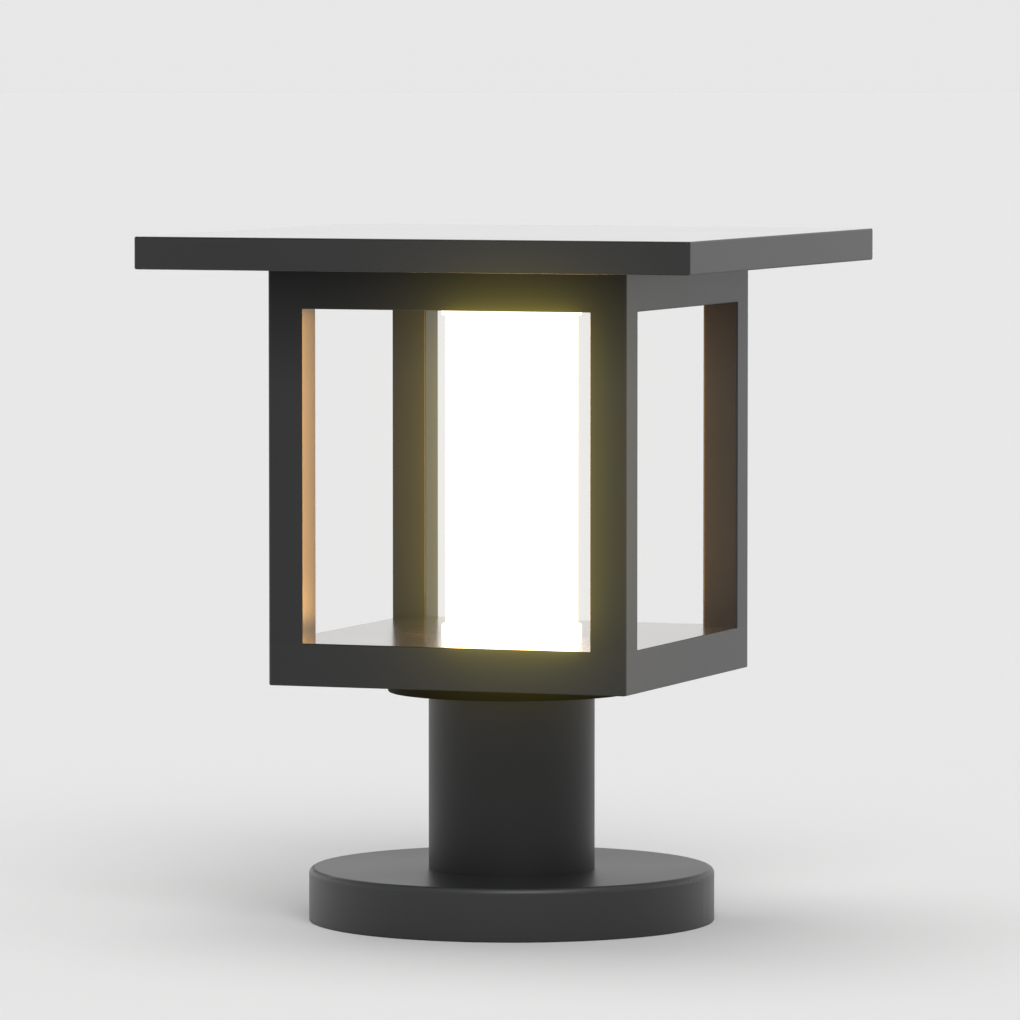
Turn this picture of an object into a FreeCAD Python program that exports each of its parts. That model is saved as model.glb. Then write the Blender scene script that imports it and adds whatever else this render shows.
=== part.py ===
"""Square pillar lantern: a flat cap on an open frame round an opal light tube, on a round neck and base.

Frame: origin at the centre of the base's underside, +Z up, the front face towards -Y. Millimetres.
Pieces that face the viewer's far side (grub screws) are on the +Y and -X sides, so the front stays plain.
"""
import FreeCAD, Part
import math
import os

V = FreeCAD.Vector
UP = V(0, 0, 1)

# ---------------------------------------------------------------- driving dimensions
# Base and what is inside it
base_diameter = 177.0
base_height = 23.0
base_wall = 4.0
base_edge_radius = 2.5
base_cable_hole_radius = 18.0
foot_edge_radius = 0.5
gasket_width = 1.8
gasket_depth = 2.0
plate_diameter = 150.0
plate_thickness = 3.0
plate_rim_height = 11.0
anchor_pcd = 110.0
anchor_hole_radius = 3.5
grommet_radius = 11.0
grommet_bore_radius = 8.0
grommet_lip = 2.5
grommet_lip_height = 1.5
base_boss_radius = 5.0
base_boss_gap = 1.8
hook_width = 16.0
hook_reach = 7.0
hook_thickness = 3.0
hook_lug_height = 4.0
terminal_length = 32.0
terminal_width = 16.0
terminal_height = 12.0
terminal_offset = 48.0
terminal_hole_radius = 2.2
terminal_edge_radius = 1.0
earth_screw_angle = 158.0
earth_screw_circle = 54.0

# Neck
neck_diameter = 72.5
neck_length = 77.0
neck_wall = 3.0
port_radius = 4.0
port_bite = 0.8
disc_diameter = 108.0
disc_thickness = 6.5
disc_edge_radius = 0.6
disc_screw_circle = 44.0
cable_hole_radius = 8.0

# Driver inside the neck
driver_width = 34.0
driver_depth = 24.0
driver_height = 60.0
driver_edge_radius = 1.5
driver_headroom = 4.0
bracket_thickness = 1.5
bracket_width = 30.0
bracket_flange_width = 18.0
bracket_flange_depth = 13.0
supply_lead_radius = 3.0
supply_lead_bend = 12.0
lamp_lead_radius = 2.5
lamp_lead_tail = 10.0

# Body frame
body_side = 163.0
body_wall = 3.0
body_corner_radius = 2.0
body_edge_radius = 0.6
window_edge_radius = 0.6
bottom_rail = 18.5
window_height = 143.5
top_rail = 17.5
post_side = 16.0
post_wall = 1.5
post_edge_radius = 0.8
rod_radius = 2.5
rod_end = 1.5
nut_flat_width = 8.0
nut_height = 4.0
frame_boss_radius = 5.0
frame_boss_inset = 22.0
frame_boss_hole_depth = 9.0
rim_gasket_width = 1.4
rim_gasket_depth = 1.2

# Light tube and its column of lights
tube_diameter = 57.5
tube_wall = 3.0
collar_wall = 1.6
collar_height = 4.3
collar_edge_radius = 0.5
collar_web = 1.8
collar_web_inner_radius = 23.0
seal_thickness = 1.0
seal_width = 4.0
column_side = 22.0
column_wall = 2.0
column_foot_radius = 21.0
column_foot_thickness = 3.0
column_bore_radius = 6.0
column_edge_radius = 1.0
strip_width = 14.0
strip_thickness = 1.0
strip_end_margin = 8.5
chip_side = 3.0
chip_thickness = 0.8
chips_per_strip = 9

# Cap
cap_side = 250.0
cap_height = 14.0
cap_wall = 2.0
cap_corner_radius = 1.5
cap_edge_radius = 0.8
underplate_thickness = 2.0
cap_stud_radius = 4.0
cap_stud_inset = 13.0
cap_stud_skin = 1.0
locator_thickness = 2.0
locator_height = 8.0
cap_grub_spread = 50.0

# Screws: shank radius, head radius, head height, hexagon socket width
M3 = (1.5, 2.75, 2.0, 2.0)
M4 = (2.0, 4.0, 2.4, 2.5)
M5 = (2.5, 4.6, 3.0, 3.0)
grub_m3_radius = 1.5
grub_m5_radius = 2.5
socket_share_of_head = 0.6
port_screw_bite = 15.0
boss_screw_bite = 7.0
stud_screw_bite = 6.0

# Clearances
thread_gap = 0.05
hole_gap = 0.25
insert_gap = 0.2
slide_gap = 0.3
tip_gap = 0.1
lead_gap = 1.0
screw_bottom_gap = 0.5

# How far the shapes that cut holes run past the faces they cut
over = 1.0

# ---------------------------------------------------------------- levels and radii worked out from them
base_radius = base_diameter / 2
base_inner_radius = base_radius - base_wall
base_ceiling = base_height - base_wall
base_gasket_middle_radius = base_radius - base_wall / 2
neck_top = base_height + neck_length
body_bottom = neck_top + disc_thickness
window_bottom = body_bottom + bottom_rail
window_top = window_bottom + window_height
body_top = window_top + top_rail
cap_top = body_top + cap_height

plate_radius = plate_diameter / 2
plate_rim_top = plate_thickness + plate_rim_height
neck_radius = neck_diameter / 2
neck_inner_radius = neck_radius - neck_wall
port_circle = neck_inner_radius - port_radius + port_bite
bottom_plate_top = body_bottom + body_wall
tray_ceiling = window_bottom - body_wall
tray_floor = window_top + body_wall
tray_side = body_side - 2 * body_wall
post_centre = (body_side - post_side) / 2
tube_radius = tube_diameter / 2
collar_bore_radius = tube_radius + insert_gap
collar_radius = collar_bore_radius + collar_wall
collar_screw_circle = (collar_web_inner_radius + collar_radius) / 2
column_screw_circle = (column_side / 2 + column_foot_radius) / 2
driver_top = neck_top - bracket_thickness - driver_headroom
driver_bottom = driver_top - driver_height
cap_ceiling = cap_top - cap_wall
underplate_top = body_top + underplate_thickness
locator_side = tray_side - 2 * slide_gap
DIAGONALS = (45, 135, 225, 315)
SQUARES = (0, 90, 180, 270)
THIRDS = (30, 150, 270)


# ---------------------------------------------------------------- shape helpers
def polar(radius, angle):
    """The (x, y) point at this radius and this angle in degrees."""
    return (radius * math.cos(math.radians(angle)), radius * math.sin(math.radians(angle)))


def rod(radius, low, high, at=(0, 0)):
    """A vertical cylinder between two levels."""
    return Part.makeCylinder(radius, high - low, V(at[0], at[1], low), UP)


def ring(outer, inner, low, high, at=(0, 0)):
    """A vertical tube between two levels."""
    return rod(outer, low, high, at).cut(rod(inner, low - over, high + over, at))


def slab(width, depth, low, high, at=(0, 0)):
    """A box centred on a point, between two levels."""
    corner = V(at[0] - width / 2, at[1] - depth / 2, low)
    return Part.makeBox(width, depth, high - low, corner)


def rod_along(radius, start, end):
    """A cylinder between two points."""
    axis = end.sub(start)
    return Part.makeCylinder(radius, axis.Length, start, axis)


def hexagon(flat_width, low, high, at=(0, 0)):
    """A hexagonal prism, given by its width across flats."""
    corner_radius = flat_width / math.sqrt(3)
    points = []
    for side in range(7):
        x, y = polar(corner_radius, 60 * side)
        points.append(V(at[0] + x, at[1] + y, low))
    face = Part.Face(Part.makePolygon(points))
    return face.extrude(V(0, 0, high - low))


def joined(shapes):
    """One solid from touching shapes."""
    whole = shapes[0]
    for other in shapes[1:]:
        whole = whole.fuse(other)
    return whole.removeSplitter()


def without(shape, tools):
    """The shape with each tool cut away."""
    for tool in tools:
        shape = shape.cut(tool)
    return shape


def edges_where(shape, test):
    """The straight or round edges whose ends both pass the test."""
    return [edge for edge in shape.Edges if all(test(vertex.Point) for vertex in edge.Vertexes)]


def upright_edges(shape):
    """The edges that run along Z."""
    found = []
    for edge in shape.Edges:
        ends = [vertex.Point for vertex in edge.Vertexes]
        if len(ends) == 2 and abs(ends[0].x - ends[1].x) < 0.01 and abs(ends[0].y - ends[1].y) < 0.01:
            found.append(edge)
    return found


def level_edges(shape, level):
    """The edges that lie at one level."""
    return edges_where(shape, lambda point: abs(point.z - level) < 0.01)


def rounded_slab(side, low, high, radius):
    """A square slab with rounded upright edges."""
    block = slab(side, side, low, high)
    return block.makeFillet(radius, upright_edges(block))


def placed(shape, at, flipped=False, turn=0):
    """A copy moved to a point, upside down if flipped, after a turn about Z."""
    copy = shape.copy()
    if flipped:
        copy.rotate(V(0, 0, 0), V(1, 0, 0), 180)
    copy.rotate(V(0, 0, 0), UP, turn)
    copy.translate(V(*at))
    return copy


def pan_screw(size, length):
    """A screw with a low cylindrical head: its seat at z = 0, the head above and the shank below."""
    shank_radius, head_radius, head_height, socket = size
    head = rod(head_radius, 0, head_height)
    head = head.makeFillet(head_height / 3, level_edges(head, head_height))
    body = joined([head, rod(shank_radius, -length, 0)])
    return body.cut(hexagon(socket, head_height * (1 - socket_share_of_head), head_height + over))


def countersink(size, gap=0.0):
    """The cone of a countersunk head with its flat at z = 0."""
    shank_radius, head_radius, _, _ = size
    depth = head_radius - shank_radius
    return Part.makeCone(shank_radius + gap, head_radius + gap, depth, V(0, 0, -depth), UP)


def countersunk_screw(size, length):
    """A countersunk screw: the head's flat at z = 0 and the shank below."""
    shank_radius, head_radius, _, socket = size
    body = joined([countersink(size), rod(shank_radius, -length, shank_radius - head_radius)])
    return body.cut(hexagon(socket, -socket_share_of_head * (head_radius - shank_radius), 1))


def countersunk_hole(size, length, at, flipped=False):
    """The space for a countersunk screw's head and a clearance hole below it."""
    shank_radius, _, _, _ = size
    hole = joined([countersink(size, hole_gap), rod(shank_radius + hole_gap, -length, 0.0)])
    return placed(hole, at, flipped)


def grub_screw(radius, start, end, socket):
    """A headless screw between two points, its hexagon socket at the end point."""
    length = end.sub(start).Length
    body = rod(radius, 0, length).cut(hexagon(socket, length - socket, length + over))
    turned = FreeCAD.Rotation(UP, end.sub(start))
    body.Placement = FreeCAD.Placement(start, turned)
    return body


def save(name, shapes):
    """Writes a node's solids to its STEP file."""
    for shape in shapes:
        if not shape.isValid() or shape.Volume <= 0:
            raise ValueError(f"{name} has a solid that isn't valid")
    whole = shapes[0] if len(shapes) == 1 else Part.makeCompound(shapes)
    whole.exportStep(f"parts/{name}.step")


# ---------------------------------------------------------------- base
grub_level = (plate_thickness + plate_rim_top) / 2
grub_directions = [V(*polar(1, angle), 0) for angle in (45, 135)]


def base_flange():
    """The hollow round foot, with two grub screw bosses and the lug that hooks under the plate."""
    shell = rod(base_radius, 0, base_height)
    shell = shell.makeFillet(base_edge_radius, level_edges(shell, base_height))
    shell = shell.makeFillet(foot_edge_radius, level_edges(shell, 0))
    shell = shell.cut(rod(base_inner_radius, -over, base_ceiling))
    within_wall = rod(base_inner_radius + base_wall / 2, 0, base_ceiling)
    lug_inner = plate_radius + base_boss_gap
    lug_middle = (lug_inner + base_radius) / 2
    lug_top = grub_level - slide_gap
    lug = slab(hook_width, base_radius - lug_inner, lug_top - hook_lug_height, lug_top, (0, -lug_middle))
    additions = [lug.common(within_wall)]
    middle = V(0, 0, grub_level)
    for direction in grub_directions:
        boss = rod_along(base_boss_radius, middle + direction * (plate_radius + base_boss_gap),
                         middle + direction * base_radius)
        additions.append(boss.common(within_wall))
    shell = joined([shell] + additions)
    holes = [rod(base_cable_hole_radius, base_ceiling - over, base_height + over)]
    holes.append(gasket_ring(base_gasket_middle_radius, gasket_width, gasket_depth))
    for angle in DIAGONALS:
        place = polar(port_circle, angle)
        holes.append(rod(M5[0] + hole_gap, base_ceiling - over, base_height + over, place))
    for direction in grub_directions:
        holes.append(rod_along(grub_m5_radius + thread_gap, middle + direction * plate_radius,
                               middle + direction * (base_radius + over)))
    return [without(shell, holes)]


def gasket_ring(middle_radius, width, depth):
    """The ring that fills the groove in the foot of the base."""
    return ring(middle_radius + width / 2, middle_radius - width / 2, 0, depth)


def base_gasket():
    """The soft ring in the foot, level with it."""
    return [gasket_ring(base_gasket_middle_radius, gasket_width, gasket_depth)]


def mounting_plate():
    """The steel pan that is bolted down first: anchor holes, cable hole, rim and front hook."""
    pan = joined([
        rod(plate_radius, 0, plate_thickness),
        ring(plate_radius, plate_radius - plate_thickness, 0, plate_rim_top),
    ])
    tongue_middle = plate_radius + (hook_reach - plate_thickness / 2) / 2
    tongue = slab(hook_width - 2 * slide_gap, hook_reach + plate_thickness / 2, grub_level,
                  grub_level + hook_thickness, (0, -tongue_middle))
    pan = joined([pan, tongue])
    holes = [rod(grommet_radius, -over, plate_thickness + over)]
    for angle in DIAGONALS:
        holes.append(rod(anchor_hole_radius, -over, plate_thickness + over, polar(anchor_pcd / 2, angle)))
    earth_place = polar(earth_screw_circle, earth_screw_angle)
    holes.append(rod(M4[0] + thread_gap, -over, plate_thickness + over, earth_place))
    return [without(pan, holes)]


def base_grub_screws():
    """Two screws at the back that lock the base to the plate's rim."""
    middle = V(0, 0, grub_level)
    screws = []
    for direction in grub_directions:
        start = middle + direction * (plate_radius + tip_gap)
        end = middle + direction * (base_radius - base_wall / 4)
        screws.append(grub_screw(grub_m5_radius, start, end, grub_m5_radius))
    return screws


def cable_grommet():
    """The soft bush in the plate's middle hole, where the supply cable comes in."""
    bush = joined([
        rod(grommet_radius, 0, plate_thickness),
        rod(grommet_radius + grommet_lip, plate_thickness, plate_thickness + grommet_lip_height),
    ])
    return [bush.cut(rod(grommet_bore_radius, -over, base_ceiling))]


def terminal_block():
    """The three-way terminal block on the plate, with a screw well and a wire hole for each way."""
    low = plate_thickness
    high = low + terminal_height
    block = slab(terminal_length, terminal_width, low, high, (0, terminal_offset))
    block = block.makeFillet(terminal_edge_radius, upright_edges(block))
    holes = []
    for way in (-1, 1):
        x = way * terminal_length / 3
        well_floor = low + terminal_height / 2
        holes.append(rod(terminal_hole_radius, well_floor, high + over, (x, terminal_offset)))
        holes.append(rod_along(terminal_hole_radius, V(x, 0, low + terminal_height / 3),
                               V(x, terminal_offset + terminal_width, low + terminal_height / 3)))
    return [without(block, holes)]


def earth_screw():
    """The earthing screw in the plate."""
    x, y = polar(earth_screw_circle, earth_screw_angle)
    return [placed(pan_screw(M4, plate_thickness - tip_gap), (x, y, plate_thickness))]


def supply_lead():
    """The inner supply lead, from the terminal block across and up to the driver."""
    level = plate_thickness + terminal_height / 2 + 1
    start = V(0, terminal_offset - terminal_width / 2, level)
    bend_start = V(0, supply_lead_bend, level)
    bend_end = V(0, 0, level + supply_lead_bend)
    centre = V(0, supply_lead_bend, level + supply_lead_bend)
    bend_middle = centre + V(0, -1, -1) * (supply_lead_bend / math.sqrt(2))
    path = Part.Wire([
        Part.LineSegment(start, bend_start).toShape(),
        Part.Arc(bend_start, bend_middle, bend_end).toShape(),
        Part.LineSegment(bend_end, V(0, 0, driver_bottom)).toShape(),
    ])
    section = Part.Wire([Part.Circle(start, V(0, -1, 0), supply_lead_radius).toShape()])
    return [path.makePipeShell([section], True, True)]


# ---------------------------------------------------------------- neck
def neck_tube():
    """The round neck, an extruded tube with four screw channels down its inside."""
    tube = ring(neck_radius, neck_inner_radius, base_height, neck_top)
    channels = []
    for angle in DIAGONALS:
        channels.append(rod(port_radius, base_height, neck_top, polar(port_circle, angle)))
    bores = []
    for angle in DIAGONALS:
        place = polar(port_circle, angle)
        bores.append(rod(M5[0] + thread_gap, base_height - over, neck_top + over, place))
    return [without(joined([tube] + channels), bores)]


def neck_foot_screws():
    """Four screws up through the base's top into the neck's channels."""
    screw = pan_screw(M5, base_wall + port_screw_bite)
    return [placed(screw, (*polar(port_circle, angle), base_ceiling), True) for angle in DIAGONALS]


def head_disc():
    """The round plate between the neck and the body."""
    disc = rod(disc_diameter / 2, neck_top, body_bottom)
    disc = disc.makeFillet(disc_edge_radius, level_edges(disc, neck_top))
    holes = [rod(cable_hole_radius, neck_top - over, body_bottom + over)]
    for angle in DIAGONALS:
        holes.append(countersunk_hole(M5, disc_thickness + over, (*polar(port_circle, angle), body_bottom)))
    for angle in SQUARES:
        centre = polar(disc_screw_circle, angle)
        holes.append(rod(M5[0] + thread_gap, neck_top + screw_bottom_gap, body_bottom + over, centre))
    for x, y in bracket_screw_places():
        holes.append(rod(M3[0] + thread_gap, neck_top - over, body_bottom - screw_bottom_gap, (x, y)))
    return [without(disc, holes)]


def neck_top_screws():
    """Four countersunk screws down through the disc into the neck's channels."""
    screw = countersunk_screw(M5, disc_thickness + port_screw_bite)
    return [placed(screw, (*polar(port_circle, angle), body_bottom)) for angle in DIAGONALS]


def disc_screws():
    """Four screws down through the body's bottom plate into the disc."""
    screw = pan_screw(M5, body_wall + disc_thickness - 2 * screw_bottom_gap)
    return [placed(screw, (*polar(disc_screw_circle, angle), bottom_plate_top)) for angle in SQUARES]


# ---------------------------------------------------------------- driver
def bracket_screw_places():
    """Where the driver bracket's two screws enter the disc."""
    y = driver_depth / 2 + bracket_flange_depth / 2 + bracket_thickness / 2
    return [(-bracket_flange_width / 4, y), (bracket_flange_width / 4, y)]


def led_driver():
    """The potted driver, a box in the neck."""
    block = slab(driver_width, driver_depth, driver_bottom, driver_top)
    return [block.makeFillet(driver_edge_radius, upright_edges(block))]


def driver_bracket():
    """The bent strip that hangs from the disc and carries the driver on its shelf."""
    inner = driver_depth / 2
    shelf_low = driver_bottom - bracket_thickness
    web = slab(bracket_width, bracket_thickness, shelf_low, neck_top, (0, inner + bracket_thickness / 2))
    shelf = slab(bracket_width, driver_depth, shelf_low, driver_bottom)
    flange = slab(bracket_flange_width, bracket_flange_depth, neck_top - bracket_thickness, neck_top,
                  (0, inner + bracket_flange_depth / 2 + bracket_thickness / 2))
    strip = joined([web, shelf, flange])
    holes = [rod(supply_lead_radius + lead_gap, shelf_low - over, driver_bottom + over)]
    for place in bracket_screw_places():
        holes.append(rod(M3[0] + hole_gap, neck_top - bracket_thickness - over, neck_top + over, place))
    return [without(strip, holes)]


def bracket_screws():
    """Two screws up through the bracket's flange into the disc."""
    screw = pan_screw(M3, bracket_thickness + disc_thickness - 2 * screw_bottom_gap)
    return [placed(screw, (x, y, neck_top - bracket_thickness), True) for x, y in bracket_screw_places()]


def lamp_lead():
    """The lead from the driver's top up into the light column."""
    return [rod(lamp_lead_radius, driver_top, window_bottom + lamp_lead_tail)]


# ---------------------------------------------------------------- body frame
def body_corner_places(offset):
    """The four points at plus and minus this offset."""
    return [(x * offset, y * offset) for x in (-1, 1) for y in (-1, 1)]


boss_places = body_corner_places(body_side / 2 - frame_boss_inset)
post_places = body_corner_places(post_centre)


def window_edge_tools(level, inwards):
    """What rounds a frame's outer edge at the windows. inwards is -1 for the lower frame, 1 for the upper."""
    reach = body_side / 2
    half_span = reach - post_side
    centre = level + inwards * window_edge_radius
    low = min(centre, level - inwards)
    high = max(centre, level - inwards)
    corner = V(-half_span, -reach - over, low)
    strip = Part.makeBox(2 * half_span, over + window_edge_radius, high - low, corner)
    roller_y = -reach + window_edge_radius
    start = V(-half_span - over, roller_y, centre)
    end = V(half_span + over, roller_y, centre)
    roller = rod_along(window_edge_radius, start, end)
    tool = strip.cut(roller)
    return [placed(tool, (0, 0, 0), turn=angle) for angle in SQUARES]


def bottom_plate():
    """The plate that closes the body from below and carries it on the disc."""
    side = tray_side - 2 * insert_gap
    plate = slab(side, side, body_bottom, bottom_plate_top)
    holes = [rod(cable_hole_radius, body_bottom - over, bottom_plate_top + over)]
    for angle in SQUARES:
        place = polar(disc_screw_circle, angle)
        holes.append(rod(M5[0] + hole_gap, body_bottom - over, bottom_plate_top + over, place))
    for x, y in boss_places:
        holes.append(countersunk_hole(M4, body_wall + over, (x, y, body_bottom), True))
    return [without(plate, holes)]


def bottom_plate_screws():
    """Four countersunk screws up through the bottom plate into the lower frame's bosses."""
    screw = countersunk_screw(M4, body_wall + boss_screw_bite)
    return [placed(screw, (x, y, body_bottom), True) for x, y in boss_places]


def lower_frame():
    """The body's lower rails and floor: a tray turned upside down."""
    block = rounded_slab(body_side, body_bottom, window_bottom, body_corner_radius)
    block = block.makeFillet(body_edge_radius, level_edges(block, body_bottom))
    block = block.cut(slab(tray_side, tray_side, body_bottom - over, tray_ceiling))
    bosses = [rod(frame_boss_radius, bottom_plate_top, tray_ceiling, place) for place in boss_places]
    block = joined([block] + bosses)
    holes = [rod(column_bore_radius, tray_ceiling - over, window_bottom + over)]
    boss_hole_top = bottom_plate_top + frame_boss_hole_depth
    for place in boss_places:
        holes.append(rod(M4[0] + thread_gap, bottom_plate_top - over, boss_hole_top, place))
    for place in post_places:
        holes.append(rod(rod_radius + hole_gap, tray_ceiling - over, window_bottom + over, place))
    for place in column_screw_places() + collar_screw_places():
        holes.append(rod(M3[0] + hole_gap, tray_ceiling - over, window_bottom + over, place))
    return [without(block, holes + window_edge_tools(window_bottom, -1))]


def corner_post(x_side, y_side):
    """A square tube post, its outer upright edge rounded like the frames' corners."""
    post = slab(post_side, post_side, window_bottom, window_top, (post_centre, post_centre))
    outer = body_side / 2
    outer_edges = edges_where(post, lambda point: min(point.x, point.y) > outer - 0.01)
    post = post.makeFillet(body_corner_radius, outer_edges)
    inner = outer - post_side
    inner_edges = [edge for edge in upright_edges(post)
                   if min(edge.Vertexes[0].Point.x, edge.Vertexes[0].Point.y) < inner + 0.01]
    post = post.makeFillet(post_edge_radius, inner_edges)
    hollow = post_side - 2 * post_wall
    middle = (post_centre, post_centre)
    post = post.cut(slab(hollow, hollow, window_bottom - over, window_top + over, middle))
    turn = {(1, 1): 0, (-1, 1): 90, (-1, -1): 180, (1, -1): 270}[(x_side, y_side)]
    return [placed(post, (0, 0, 0), turn=turn)]


def tie_rods():
    """The four threaded rods inside the posts that pull the two frames together."""
    low = tray_ceiling - nut_height - rod_end
    high = tray_floor + nut_height + rod_end
    return [rod(rod_radius, low, high, place) for place in post_places]


def tie_rod_nuts():
    """A nut on each end of each tie rod."""
    nuts = []
    for place in post_places:
        for low in (tray_ceiling - nut_height, tray_floor):
            nut = hexagon(nut_flat_width, low, low + nut_height, place)
            nuts.append(nut.cut(rod(rod_radius + thread_gap, low - over, low + nut_height + over, place)))
    return nuts


def rim_gasket_square(low, high):
    """The square ring that fills the groove in the upper frame's rim."""
    middle = body_side - body_wall
    outer = slab(middle + rim_gasket_width, middle + rim_gasket_width, low, high)
    return outer.cut(slab(middle - rim_gasket_width, middle - rim_gasket_width, low - over, high + over))


def cap_gasket():
    """The soft ring in the upper frame's rim, level with it."""
    return [rim_gasket_square(body_top - rim_gasket_depth, body_top)]


cap_grub_level = body_top - locator_height / 2


def cap_grub_ends():
    """The inner and outer ends of the cap's four grub screws, two at the back and two on the left."""
    inner = locator_side / 2 + tip_gap
    outer = body_side / 2 - tip_gap
    ends = []
    for spread in (-cap_grub_spread, cap_grub_spread):
        ends.append((V(spread, inner, cap_grub_level), V(spread, outer, cap_grub_level)))
        ends.append((V(-inner, spread, cap_grub_level), V(-outer, spread, cap_grub_level)))
    return ends


def upper_frame():
    """The body's upper rails and ceiling: a tray open upwards under the cap."""
    block = rounded_slab(body_side, window_top, body_top, body_corner_radius)
    block = block.cut(slab(tray_side, tray_side, tray_floor, body_top + over))
    holes = [rim_gasket_square(body_top - rim_gasket_depth, body_top + over)]
    for place in post_places:
        holes.append(rod(rod_radius + hole_gap, window_top - over, tray_floor + over, place))
    for place in collar_screw_places():
        holes.append(rod(M3[0] + hole_gap, window_top - over, tray_floor + over, place))
    for start, end in cap_grub_ends():
        outward = (end - start).normalize()
        holes.append(rod_along(grub_m3_radius + thread_gap, start - outward, end + outward))
    return [without(block, holes + window_edge_tools(window_top, 1))]


def cap_grub_screws():
    """Four short grub screws that lock the cap's locating frame."""
    return [grub_screw(grub_m3_radius, start, end, grub_m3_radius) for start, end in cap_grub_ends()]


# ---------------------------------------------------------------- light tube and column
def collar_screw_places():
    """Where the three screws of a collar stand."""
    return [polar(collar_screw_circle, angle) for angle in THIRDS]


def column_screw_places():
    """Where the column foot's two screws stand."""
    return [polar(column_screw_circle, angle) for angle in (0, 180)]


def collar():
    """A collar standing on z = 0: a thin web with a rim round the tube's end."""
    cup = rod(collar_radius, 0, collar_height)
    cup = cup.makeFillet(collar_edge_radius, level_edges(cup, collar_height))
    holes = [rod(collar_bore_radius, collar_web, collar_height + over)]
    holes.append(rod(collar_web_inner_radius, -over, collar_height + over))
    for place in collar_screw_places():
        holes.append(rod(M3[0] + thread_gap, -over, collar_height, place))
    return without(cup, holes)


def lower_collar():
    """The collar on the lower frame's floor."""
    return [placed(collar(), (0, 0, window_bottom))]


def upper_collar():
    """The collar under the upper frame's ceiling."""
    turned = collar().mirror(V(0, 0, 0), UP)
    return [placed(turned, (0, 0, window_top))]


def collar_screws():
    """Three screws into each collar, from inside the frames."""
    screw = pan_screw(M3, body_wall + collar_web - tip_gap)
    below = [placed(screw, (x, y, tray_ceiling), True) for x, y in collar_screw_places()]
    above = [placed(screw, (x, y, tray_floor)) for x, y in collar_screw_places()]
    return below + above


def diffuser_seals():
    """The two flat rings between the tube's ends and the collars."""
    low = window_bottom + collar_web
    high = window_top - collar_web
    inner = tube_radius - seal_width
    lower = ring(tube_radius, inner, low, low + seal_thickness)
    upper = ring(tube_radius, inner, high - seal_thickness, high)
    return [lower, upper]


def diffuser_tube():
    """The opal tube that lights up."""
    end = collar_web + seal_thickness
    return [ring(tube_radius, tube_radius - tube_wall, window_bottom + end, window_top - end)]


def led_column():
    """The aluminium column that carries the light strips and takes their heat, with a round foot."""
    tube = slab(column_side, column_side, window_bottom, window_top)
    tube = tube.makeFillet(column_edge_radius, upright_edges(tube))
    column = joined([tube, rod(column_foot_radius, window_bottom, window_bottom + column_foot_thickness)])
    hollow = column_side - 2 * column_wall
    holes = [slab(hollow, hollow, window_bottom + column_foot_thickness, window_top + over)]
    holes.append(rod(column_bore_radius, window_bottom - over, window_top))
    foot_top = window_bottom + column_foot_thickness
    for place in column_screw_places():
        holes.append(rod(M3[0] + thread_gap, window_bottom - over, foot_top + over, place))
    return [without(column, holes)]


def column_screws():
    """Two screws up through the floor into the column's foot."""
    screw = pan_screw(M3, body_wall + column_foot_thickness - tip_gap)
    return [placed(screw, (x, y, tray_ceiling), True) for x, y in column_screw_places()]


strip_low = window_bottom + strip_end_margin
strip_high = window_top - strip_end_margin


def led_strips():
    """A light strip's board on each side of the column."""
    out = (column_side + strip_thickness) / 2
    board = slab(strip_thickness, strip_width, strip_low, strip_high, (out, 0))
    return [placed(board, (0, 0, 0), turn=angle) for angle in SQUARES]


def led_chips():
    """The light chips, spaced evenly up each board."""
    out = column_side / 2 + strip_thickness + chip_thickness / 2
    pitch = (strip_high - strip_low) / chips_per_strip
    chips = []
    for angle in SQUARES:
        for number in range(chips_per_strip):
            low = strip_low + pitch * (number + 0.5) - chip_side / 2
            chip = slab(chip_thickness, chip_side, low, low + chip_side, (out, 0))
            chips.append(placed(chip, (0, 0, 0), turn=angle))
    return chips


# ---------------------------------------------------------------- cap
def cap_stud_places():
    """The corners and side middles where the underplate is screwed to the cap."""
    reach = cap_side / 2 - cap_stud_inset
    return [(x * reach, y * reach) for x in (-1, 0, 1) for y in (-1, 0, 1) if x or y]


def cap_shell():
    """The flat overhanging cap: a shallow tray turned upside down, with studs for the underplate."""
    block = rounded_slab(cap_side, body_top, cap_top, cap_corner_radius)
    rims = level_edges(block, cap_top) + level_edges(block, body_top)
    block = block.makeFillet(cap_edge_radius, rims)
    inner = cap_side - 2 * cap_wall
    block = block.cut(slab(inner, inner, body_top - over, cap_ceiling))
    studs = [rod(cap_stud_radius, underplate_top, cap_ceiling, place) for place in cap_stud_places()]
    block = joined([block] + studs)
    hole_top = cap_ceiling - cap_stud_skin
    holes = [rod(M3[0] + thread_gap, body_top, hole_top, place) for place in cap_stud_places()]
    return [without(block, holes)]


def cap_underplate():
    """The sheet that closes the cap from below."""
    side = cap_side - 2 * cap_wall - 2 * insert_gap
    plate = slab(side, side, body_top, underplate_top)
    depth = underplate_thickness + over
    holes = [countersunk_hole(M3, depth, (x, y, body_top), True) for x, y in cap_stud_places()]
    return [without(plate, holes)]


def underplate_screws():
    """Eight countersunk screws up through the underplate into the cap's studs."""
    screw = countersunk_screw(M3, underplate_thickness + stud_screw_bite)
    return [placed(screw, (x, y, body_top), True) for x, y in cap_stud_places()]


def cap_locating_frame():
    """The square lip under the cap that drops inside the upper frame."""
    low = body_top - locator_height
    inner = locator_side - 2 * locator_thickness
    outer_block = slab(locator_side, locator_side, low, body_top)
    return [outer_block.cut(slab(inner, inner, low - over, body_top + over))]


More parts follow.
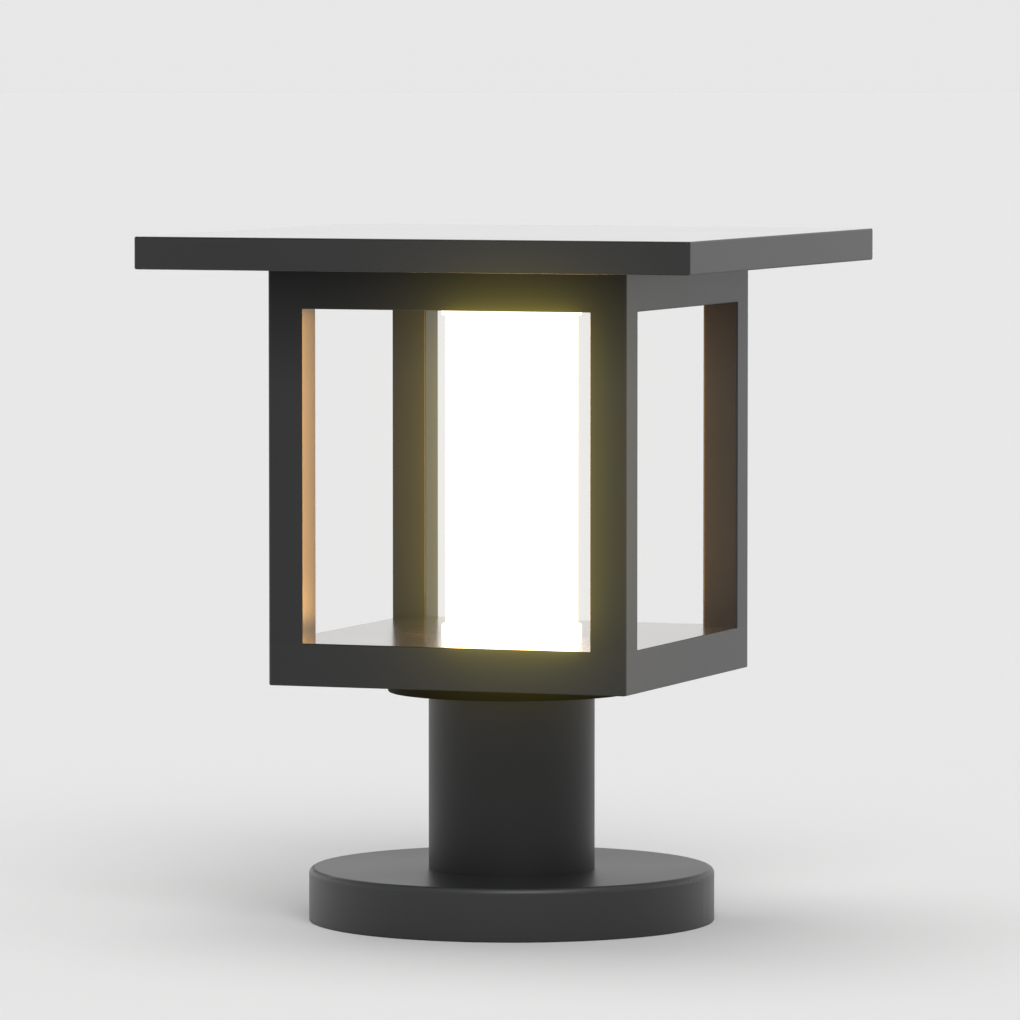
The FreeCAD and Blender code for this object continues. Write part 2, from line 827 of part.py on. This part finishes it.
# ---------------------------------------------------------------- the assembly, one file for each node
NODES = {
    "base_flange": base_flange,
    "base_gasket": base_gasket,
    "mounting_plate": mounting_plate,
    "base_grub_screws": base_grub_screws,
    "cable_grommet": cable_grommet,
    "terminal_block": terminal_block,
    "earth_screw": earth_screw,
    "supply_lead": supply_lead,
    "neck_tube": neck_tube,
    "neck_foot_screws": neck_foot_screws,
    "head_disc": head_disc,
    "neck_top_screws": neck_top_screws,
    "disc_screws": disc_screws,
    "led_driver": led_driver,
    "driver_bracket": driver_bracket,
    "bracket_screws": bracket_screws,
    "lamp_lead": lamp_lead,
    "bottom_plate": bottom_plate,
    "bottom_plate_screws": bottom_plate_screws,
    "lower_frame": lower_frame,
    "front_left_post": lambda: corner_post(-1, -1),
    "front_right_post": lambda: corner_post(1, -1),
    "rear_left_post": lambda: corner_post(-1, 1),
    "rear_right_post": lambda: corner_post(1, 1),
    "tie_rods": tie_rods,
    "tie_rod_nuts": tie_rod_nuts,
    "upper_frame": upper_frame,
    "cap_gasket": cap_gasket,
    "cap_grub_screws": cap_grub_screws,
    "lower_collar": lower_collar,
    "upper_collar": upper_collar,
    "collar_screws": collar_screws,
    "diffuser_seals": diffuser_seals,
    "diffuser_tube": diffuser_tube,
    "led_column": led_column,
    "column_screws": column_screws,
    "led_strips": led_strips,
    "led_chips": led_chips,
    "cap_shell": cap_shell,
    "cap_underplate": cap_underplate,
    "underplate_screws": underplate_screws,
    "cap_locating_frame": cap_locating_frame,
}

os.makedirs("parts", exist_ok=True)
for node, make in NODES.items():
    save(node, make())
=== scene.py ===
"""Looks for the pillar lantern: powder-coated aluminium, a lit opal tube, a pale studio and one camera.

Metres throughout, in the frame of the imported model: origin under the base, +Z up, front towards -Y.
"""
import math
import bpy
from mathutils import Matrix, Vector

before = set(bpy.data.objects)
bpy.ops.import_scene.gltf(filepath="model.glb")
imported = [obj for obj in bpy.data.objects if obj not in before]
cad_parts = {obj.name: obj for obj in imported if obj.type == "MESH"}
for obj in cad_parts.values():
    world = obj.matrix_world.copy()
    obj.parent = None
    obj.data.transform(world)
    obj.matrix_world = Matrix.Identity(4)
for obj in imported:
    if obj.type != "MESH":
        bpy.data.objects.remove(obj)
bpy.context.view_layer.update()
scene = bpy.context.scene

# ---------------------------------------------------------------- settings
WHITE = (1.0, 1.0, 1.0)

# The backdrop's light near the horizon and overhead, and the elevations between which it fades.
BACKDROP_LIGHT = 0.80
OVERHEAD_LIGHT = 0.20
BACKDROP_FADE = (math.radians(15), math.radians(32))
# Rising through this band the backdrop brightens by this factor, and keeps it above.
HORIZON_BAND = (math.radians(1.5), math.radians(4.5))
HORIZON_GAIN = 1.12
# Each soft light: name, azimuth from the camera's direction, elevation, brightness it alone gives the floor.
SOFT_LIGHTS = (
    ("front_light", math.radians(10), math.radians(45), 0.212),
    ("rear_light", math.radians(210), math.radians(75), 0.204),
    ("right_light", math.radians(60), math.radians(75), 0.071),
)
SOFT_LIGHT_SPREAD = math.radians(36)
FLOOR_ALBEDO = 0.985
FLOOR_RADIUS = 60.0
FLOOR_SIDES = 96

# Noise scales are in cycles per metre, and bump heights in metres.
NOISE_ROUGHNESS = 0.55
NOISE_RANGE = (0.3, 0.7)

# Powder coat. The ranges are of how far a face looks up: 1 on a level top, 0 on a side, -1 underneath.
COAT_COLOR = (0.0078, 0.0080, 0.0082)
CLOUD_SCALE = 11.0
CLOUD_TONES = (0.88, 1.12)
CLOUD_ROUGHNESS = (-0.015, 0.025)
GRAIN_SCALE = 2600.0
GRAIN_HEIGHT = 0.000004
SPECK_TONE = 2.4
SPECK_STRENGTH = 0.5
SPECK_GRAIN_RANGE = (0.62, 0.78)
PEEL_SCALE = 380.0
PEEL_HEIGHT = 0.00003
PEEL_ON_LEVEL_TOPS = 0.15
COAT_BUMP_STRENGTH = 0.5
LEVEL_RANGE = (0.90, 0.995)
ROUNDING_RANGE = (0.10, 0.60)
UNDERSIDE_RANGE = (-0.6, -0.1)
UNDERSIDE_ROUGHNESS = 0.30
FILM_IOR = 1.5
# Between these heights the frame's gloss falls to this tint, to stand for the cap's shade.
CAP_SHADE_HEIGHTS = (0.235, 0.285)
PAINTED_CAP_SHADE_TINT = (0.25, 0.25, 0.25)

# Lit opal acrylic.
OPAL_COLORS = ((0.86, 0.84, 0.78), (0.92, 0.90, 0.85))
OPAL_ROUGHNESS = (0.22, 0.30)
OPAL_VEIL_SCALE = 22.0
OPAL_UNEVENNESS = 0.05
TUBE_COLOR = (1.0, 0.53, 0.16)
TUBE_STRENGTH = 11.0
TUBE_FOOT_HEIGHTS = (0.130, 0.150)
TUBE_FOOT_GAIN = 1.6
COLLAR_COLOR = (1.0, 0.84, 0.56)
COLLAR_STRENGTH = 2.2

# Bare metal.
DRAWN_SCALE = 300.0
DRAWN_SHADE = 0.85
DRAWN_ROUGHNESS_SPREAD = 0.06
DRAWN_HEIGHT = 0.00003
DRAWN_BUMP_STRENGTH = 0.4

# Moulded plastic and rubber.
MOULD_GRAIN_SCALE = 900.0
MOULD_CLOUD_SCALE = 30.0
MOULD_SHADE = 0.88
MOULD_ROUGHNESS_SPREAD = (-0.05, 0.07)
MOULD_GRAIN_HEIGHT = 0.00005
MOULD_BUMP_STRENGTH = 0.5

CAMERA_DISTANCE = 3.2613
CAMERA_HEIGHT = 0.3801
CAMERA_AZIMUTH = math.radians(20.44)
CAMERA_PITCH = math.radians(3.528)
CAMERA_YAW = math.radians(0.013)
CAMERA_LENS = 264.7
CAMERA_SENSOR = 36.0
CAMERA_CLIP = (0.1, 200.0)

# The lens's bloom, as the Glare node's inputs.
GLOW = {"Threshold": 1.5, "Strength": 0.115, "Size": 0.13, "Tint": (0.68, 1.0, 0.35, 1.0)}


# ---------------------------------------------------------------- material helpers
class Nodes:
    """A material's node tree, with short calls for the nodes used here."""

    def __init__(self, name):
        self.material = bpy.data.materials.new(name)
        self.material.use_nodes = True
        self.tree = self.material.node_tree
        self.shader = next(n for n in self.tree.nodes if n.type == "BSDF_PRINCIPLED")
        self.place = self.add("ShaderNodeTexCoord").outputs["Object"]

    def add(self, kind, **settings):
        node = self.tree.nodes.new(kind)
        for name, value in settings.items():
            setattr(node, name, value)
        return node

    def link(self, source, target):
        self.tree.links.new(source, target)

    def upward(self):
        """How far the surface faces up: 1 on a level top, 0 on an upright side."""
        split = self.add("ShaderNodeSeparateXYZ")
        self.link(self.add("ShaderNodeNewGeometry").outputs["Normal"], split.inputs["Vector"])
        return split.outputs["Z"]

    def height(self):
        """The height above the ground, in metres."""
        split = self.add("ShaderNodeSeparateXYZ")
        self.link(self.place, split.inputs["Vector"])
        return split.outputs["Z"]

    def noise(self, scale, detail=3.0, stretch=None):
        """A noise's factor."""
        node = self.add("ShaderNodeTexNoise")
        node.inputs["Scale"].default_value = scale
        node.inputs["Detail"].default_value = detail
        node.inputs["Roughness"].default_value = NOISE_ROUGHNESS
        source = self.place
        if stretch:
            mapping = self.add("ShaderNodeMapping")
            mapping.inputs["Scale"].default_value = stretch
            self.link(self.place, mapping.inputs["Vector"])
            source = mapping.outputs["Vector"]
        self.link(source, node.inputs["Vector"])
        return node.outputs["Fac"]

    def ranged(self, source, low, high, start=NOISE_RANGE[0], end=NOISE_RANGE[1]):
        """Maps start..end of a factor to low..high."""
        node = self.add("ShaderNodeMapRange")
        node.inputs["From Min"].default_value = start
        node.inputs["From Max"].default_value = end
        node.inputs["To Min"].default_value = low
        node.inputs["To Max"].default_value = high
        self.link(source, node.inputs["Value"])
        return node.outputs["Result"]

    def between(self, factor, low, high):
        """A number from low, at factor 0, to high, at factor 1."""
        return self.ranged(factor, low, high, 0.0, 1.0)

    def blend(self, factor, first, second):
        """A colour between two colours, each a triple or another colour's output."""
        node = self.add("ShaderNodeMix", data_type="RGBA")
        self.link(factor, node.inputs["Factor"])
        for socket, value in ((node.inputs[6], first), (node.inputs[7], second)):
            if isinstance(value, tuple):
                socket.default_value = (*value, 1.0)
            else:
                self.link(value, socket)
        return node.outputs[2]

    def scaled(self, color, gain):
        """A colour times a factor."""
        node = self.add("ShaderNodeVectorMath", operation="SCALE")
        self.link(color, node.inputs["Vector"])
        self.link(gain, node.inputs["Scale"])
        return node.outputs["Vector"]

    def math(self, operation, first, second):
        """Two factors added or multiplied; either may be a number."""
        node = self.add("ShaderNodeMath", operation=operation)
        for socket, value in zip(node.inputs, (first, second)):
            if isinstance(value, float):
                socket.default_value = value
            else:
                self.link(value, socket)
        return node.outputs["Value"]

    def bump(self, height, distance, strength, under=None):
        """A bump's normal, laid over another one if under is given."""
        node = self.add("ShaderNodeBump")
        node.inputs["Distance"].default_value = distance
        node.inputs["Strength"].default_value = strength
        self.link(height, node.inputs["Height"])
        if under is not None:
            self.link(under, node.inputs["Normal"])
        return node.outputs["Normal"]

    def set(self, **values):
        """Sets the shader's sockets: a link for an output, a number or a colour otherwise."""
        for name, value in values.items():
            socket = self.shader.inputs[name.replace("_", " ")]
            if isinstance(value, bpy.types.NodeSocket):
                self.link(value, socket)
            elif isinstance(value, tuple):
                socket.default_value = (*value, 1.0)
            else:
                socket.default_value = value


def times(share, color):
    return tuple(share * c for c in color)


def dress(nodes, material):
    """Gives CAD nodes a material, in every slot they have."""
    for node in nodes:
        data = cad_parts[node].data
        if not data.materials:
            data.materials.append(material)
        for index in range(len(data.materials)):
            data.materials[index] = material


# ---------------------------------------------------------------- materials
def powder_coat(name, side_roughness, top_roughness, ior, tone=1.0, film_roughness=None,
                painted_top_light=1.0, painted_rounding_highlight=0.0, painted_cap_shade=False):
    """Satin powder coat: very fine orange peel, faint clouding and a few pale specks in the pigment.

    Level tops, where the powder flows out before it cures, have their own gloss, and some carry a clear film.
    painted_top_light multiplies the colour there: painted light standing for the light level tops catch.
    painted_rounding_highlight adds to that on upper roundings: a painted highlight.
    """
    m = Nodes(name)
    up = m.upward()
    level = m.ranged(up, 0.0, 1.0, *LEVEL_RANGE)
    cloud = m.noise(CLOUD_SCALE, detail=4.0)
    grain = m.noise(GRAIN_SCALE, detail=2.0)

    dark, light, speck = (times(tone * share, COAT_COLOR) for share in (*CLOUD_TONES, SPECK_TONE))
    clouded = m.blend(m.ranged(cloud, 0.0, 1.0), dark, light)
    speckled = m.blend(m.ranged(grain, 0.0, SPECK_STRENGTH, *SPECK_GRAIN_RANGE), clouded, speck)
    # painted light: the colour is lifted on level tops, and a painted highlight is added on upper roundings,
    # for the light these faces catch
    rounding_highlight_mask = m.math("MULTIPLY", m.ranged(up, 0.0, 1.0, *ROUNDING_RANGE), m.between(level, 1.0, 0.0))
    gain = m.math("ADD", m.between(level, 1.0, painted_top_light), m.math("MULTIPLY", rounding_highlight_mask, painted_rounding_highlight))

    facing = m.between(level, side_roughness, top_roughness)
    roughness = m.math("ADD", m.ranged(cloud, *CLOUD_ROUGHNESS), facing)
    roughness = m.math("ADD", roughness, m.ranged(up, UNDERSIDE_ROUGHNESS, 0.0, *UNDERSIDE_RANGE))

    peel = m.math("MULTIPLY", m.noise(PEEL_SCALE, detail=2.0), m.between(level, 1.0, PEEL_ON_LEVEL_TOPS))
    fine = m.bump(grain, GRAIN_HEIGHT, COAT_BUMP_STRENGTH)
    normal = m.bump(peel, PEEL_HEIGHT, COAT_BUMP_STRENGTH, under=fine)

    m.set(Base_Color=m.scaled(speckled, gain), Roughness=roughness, IOR=ior, Normal=normal)
    # painted shade: the gloss is tinted darker towards the top of the frame, for the shade under the cap
    if painted_cap_shade:
        shade = m.ranged(m.height(), 0.0, 1.0, *CAP_SHADE_HEIGHTS)
        m.set(Specular_Tint=m.blend(shade, WHITE, PAINTED_CAP_SHADE_TINT))
    if film_roughness is not None:
        m.set(Coat_Weight=level, Coat_Roughness=film_roughness, Coat_IOR=FILM_IOR)
    return m.material


def opal_glow(name, color, strength, foot_gain=1.0):
    """Opal acrylic lit from inside, with the faint veil of its pigment; foot_gain brightens its foot."""
    m = Nodes(name)
    veil = m.noise(OPAL_VEIL_SCALE)
    even = m.ranged(veil, (1 - OPAL_UNEVENNESS) * strength, (1 + OPAL_UNEVENNESS) * strength)
    foot = m.ranged(m.height(), foot_gain, 1.0, *TUBE_FOOT_HEIGHTS)
    m.set(Base_Color=m.blend(m.ranged(veil, 0.0, 1.0), *OPAL_COLORS), Roughness=m.ranged(veil, *OPAL_ROUGHNESS),
          Emission_Color=color, Emission_Strength=m.math("MULTIPLY", even, foot))
    return m.material


def metal(name, color, roughness, stretch):
    """Bare or plated metal with a faint drawn grain."""
    m = Nodes(name)
    grain = m.noise(DRAWN_SCALE, detail=4.0, stretch=stretch)
    low, high = roughness - DRAWN_ROUGHNESS_SPREAD, roughness + DRAWN_ROUGHNESS_SPREAD
    m.set(Base_Color=m.blend(m.ranged(grain, 0.0, 1.0), times(DRAWN_SHADE, color), color), Metallic=1.0,
          Roughness=m.ranged(grain, low, high), Normal=m.bump(grain, DRAWN_HEIGHT, DRAWN_BUMP_STRENGTH))
    return m.material


def moulded(name, color, roughness):
    """Moulded plastic or rubber with a fine spark-eroded grain."""
    m = Nodes(name)
    grain = m.noise(MOULD_GRAIN_SCALE)
    cloud = m.noise(MOULD_CLOUD_SCALE)
    low, high = (roughness + spread for spread in MOULD_ROUGHNESS_SPREAD)
    m.set(Base_Color=m.blend(m.ranged(cloud, 0.0, 1.0), times(MOULD_SHADE, color), color),
          Roughness=m.ranged(grain, low, high), Normal=m.bump(grain, MOULD_GRAIN_HEIGHT, MOULD_BUMP_STRENGTH))
    return m.material


POSTS = ["front_left_post", "front_right_post", "rear_left_post", "rear_right_post"]
SCREWS = ["base_grub_screws", "earth_screw", "neck_foot_screws", "neck_top_screws", "disc_screws",
          "bracket_screws", "bottom_plate_screws", "cap_grub_screws", "collar_screws", "column_screws",
          "underplate_screws"]

# painted light: the base's level top is lightened and its top rounding carries a painted highlight
dress(["base_flange"],
      powder_coat("base_powder_coat", side_roughness=0.38, top_roughness=0.36, ior=1.58,
                  painted_top_light=2.8, painted_rounding_highlight=5.0))
# painted shade: a darker copy of the powder coat, for the shade the head throws on the neck
dress(["neck_tube"],
      powder_coat("neck_powder_coat_painted_shade", side_roughness=0.44, top_roughness=0.30, ior=1.45, tone=0.7))
# painted shade: a much darker copy of the powder coat, for the shadow in the gap under the body
dress(["head_disc"],
      powder_coat("disc_powder_coat_painted_shade", side_roughness=0.60, top_roughness=0.50, ior=1.14, tone=0.4))
# painted shade: this coat's gloss is darkened just under the cap
dress(POSTS + ["upper_frame", "bottom_plate", "cap_underplate"],
      powder_coat("grey_powder_coat", side_roughness=0.24, top_roughness=0.24, ior=1.43, tone=1.8,
                  painted_cap_shade=True))
# painted light: the frame's level floor inside the windows is lightened, for the light it reflects
dress(["lower_frame"],
      powder_coat("lower_frame_powder_coat", side_roughness=0.24, top_roughness=0.22, ior=1.46, tone=1.7,
                  film_roughness=0.20, painted_top_light=3.0))
dress(["cap_shell", "cap_locating_frame"],
      powder_coat("cap_powder_coat", side_roughness=0.24, top_roughness=0.10, ior=1.48, tone=1.6,
                  film_roughness=0.14))
dress(["lower_collar", "upper_collar"], opal_glow("opal_collar", COLLAR_COLOR, COLLAR_STRENGTH))
dress(["diffuser_tube"], opal_glow("opal_acrylic_lit", TUBE_COLOR, TUBE_STRENGTH, TUBE_FOOT_GAIN))
dress(["mounting_plate", "tie_rods", "tie_rod_nuts", "driver_bracket"],
      metal("zinc_plate", (0.60, 0.61, 0.62), 0.38, (1.0, 1.0, 0.3)))
dress(SCREWS, metal("stainless_screws", (0.52, 0.52, 0.51), 0.30, (1.0, 1.0, 4.0)))
dress(["led_column"], metal("bare_aluminium", (0.78, 0.78, 0.79), 0.33, (1.0, 1.0, 0.05)))
dress(["base_gasket", "cable_grommet", "cap_gasket"], moulded("black_rubber", (0.022, 0.022, 0.023), 0.72))
dress(["diffuser_seals"], moulded("silicone", (0.74, 0.74, 0.72), 0.55))
dress(["terminal_block"], moulded("white_nylon", (0.78, 0.78, 0.75), 0.45))
dress(["led_driver"], moulded("driver_case", (0.06, 0.06, 0.065), 0.5))
dress(["supply_lead", "lamp_lead"], moulded("lead_sheath", (0.03, 0.03, 0.03), 0.5))
dress(["led_strips"], moulded("white_board", (0.82, 0.82, 0.80), 0.35))
dress(["led_chips"], moulded("light_chip", (0.85, 0.62, 0.20), 0.3))


# ---------------------------------------------------------------- studio
def pale_floor():
    bpy.ops.mesh.primitive_circle_add(vertices=FLOOR_SIDES, radius=FLOOR_RADIUS, fill_type="NGON",
                                      location=(0, 0, 0))
    floor = bpy.context.object
    floor.name = "studio_floor"
    m = Nodes("pale_floor")
    m.set(Base_Color=times(FLOOR_ALBEDO, WHITE), Roughness=1.0, Specular_IOR_Level=0.0)
    floor.data.materials.append(m.material)
    return floor


def backdrop():
    """An even pale sky, dimmer overhead, so the floor fades into it at the horizon."""
    world = bpy.data.worlds.new("studio")
    world.use_nodes = True
    scene.world = world
    tree = world.node_tree
    sky = next(n for n in tree.nodes if n.type == "BACKGROUND")
    sky.inputs["Color"].default_value = (*WHITE, 1.0)
    split = tree.nodes.new("ShaderNodeSeparateXYZ")
    tree.links.new(tree.nodes.new("ShaderNodeTexCoord").outputs["Generated"], split.inputs["Vector"])
    product = tree.nodes.new("ShaderNodeMath")
    product.operation = "MULTIPLY"
    tree.links.new(product.outputs["Value"], sky.inputs["Strength"])
    steps = ((BACKDROP_FADE, BACKDROP_LIGHT, OVERHEAD_LIGHT), (HORIZON_BAND, 1.0, HORIZON_GAIN))
    for factor, ((low, high), below, above) in zip(product.inputs, steps):
        step = tree.nodes.new("ShaderNodeMapRange")
        step.interpolation_type = "SMOOTHSTEP"
        step.inputs["From Min"].default_value = math.sin(low)
        step.inputs["From Max"].default_value = math.sin(high)
        step.inputs["To Min"].default_value = below
        step.inputs["To Max"].default_value = above
        tree.links.new(split.outputs["Z"], step.inputs["Value"])
        tree.links.new(step.outputs["Result"], factor)


def soft_light(name, azimuth, elevation, share):
    """A large soft light far away; share is the brightness it alone gives the floor."""
    data = bpy.data.lights.new(name, "SUN")
    data.angle = SOFT_LIGHT_SPREAD
    data.energy = share * math.pi / math.sin(elevation)
    light = bpy.data.objects.new(name, data)
    scene.collection.objects.link(light)
    turn = CAMERA_AZIMUTH + azimuth
    level = math.cos(elevation)
    towards = Vector((math.sin(turn) * level, -math.cos(turn) * level, math.sin(elevation)))
    light.rotation_euler = towards.to_track_quat("Z", "Y").to_euler()


def keep_tube_light_off(floor):
    """The tube and its collars light the lantern alone, so they leave no warm tint on the floor."""
    floor_only = bpy.data.collections.new("floor_only")
    floor_only.objects.link(floor)
    floor_only.collection_objects[0].light_linking.link_state = "EXCLUDE"
    for node in ("diffuser_tube", "lower_collar", "upper_collar"):
        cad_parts[node].light_linking.receiver_collection = floor_only


# ---------------------------------------------------------------- camera
def camera():
    """A long lens in front of the right-hand side of the front face, looking slightly down."""
    data = bpy.data.cameras.new("camera")
    data.sensor_width = CAMERA_SENSOR
    data.lens = CAMERA_LENS
    data.clip_start, data.clip_end = CAMERA_CLIP
    eye = bpy.data.objects.new("camera", data)
    scene.collection.objects.link(eye)
    across, along = math.sin(CAMERA_AZIMUTH), -math.cos(CAMERA_AZIMUTH)
    eye.location = (CAMERA_DISTANCE * across, CAMERA_DISTANCE * along, CAMERA_HEIGHT)
    eye.rotation_euler = (math.pi / 2 - CAMERA_PITCH, 0.0, CAMERA_AZIMUTH + CAMERA_YAW)
    scene.camera = eye


# ---------------------------------------------------------------- glow round the lit tube
def glow():
    """The lens's own warm bloom round the lit tube, laid over the clipped picture as a screen."""
    scene.use_nodes = True
    tree = scene.node_tree
    tree.nodes.clear()
    layers = tree.nodes.new("CompositorNodeRLayers")
    glare = tree.nodes.new("CompositorNodeGlare")
    glare.glare_type = "BLOOM"
    glare.quality = "HIGH"
    for name, value in GLOW.items():
        glare.inputs[name].default_value = value
    clipped = tree.nodes.new("CompositorNodeMixRGB")
    clipped.blend_type = "DARKEN"
    clipped.inputs[2].default_value = (*WHITE, 1.0)
    screen = tree.nodes.new("CompositorNodeMixRGB")
    screen.blend_type = "SCREEN"
    out = tree.nodes.new("CompositorNodeComposite")
    tree.links.new(layers.outputs["Image"], glare.inputs["Image"])
    tree.links.new(layers.outputs["Image"], clipped.inputs[1])
    tree.links.new(clipped.outputs["Image"], screen.inputs[1])
    tree.links.new(glare.outputs["Glare"], screen.inputs[2])
    tree.links.new(screen.outputs["Image"], out.inputs["Image"])


studio_floor = pale_floor()
backdrop()
for settings in SOFT_LIGHTS:
    soft_light(*settings)
keep_tube_light_off(studio_floor)
scene.view_settings.view_transform = "Standard"
camera()
glow()
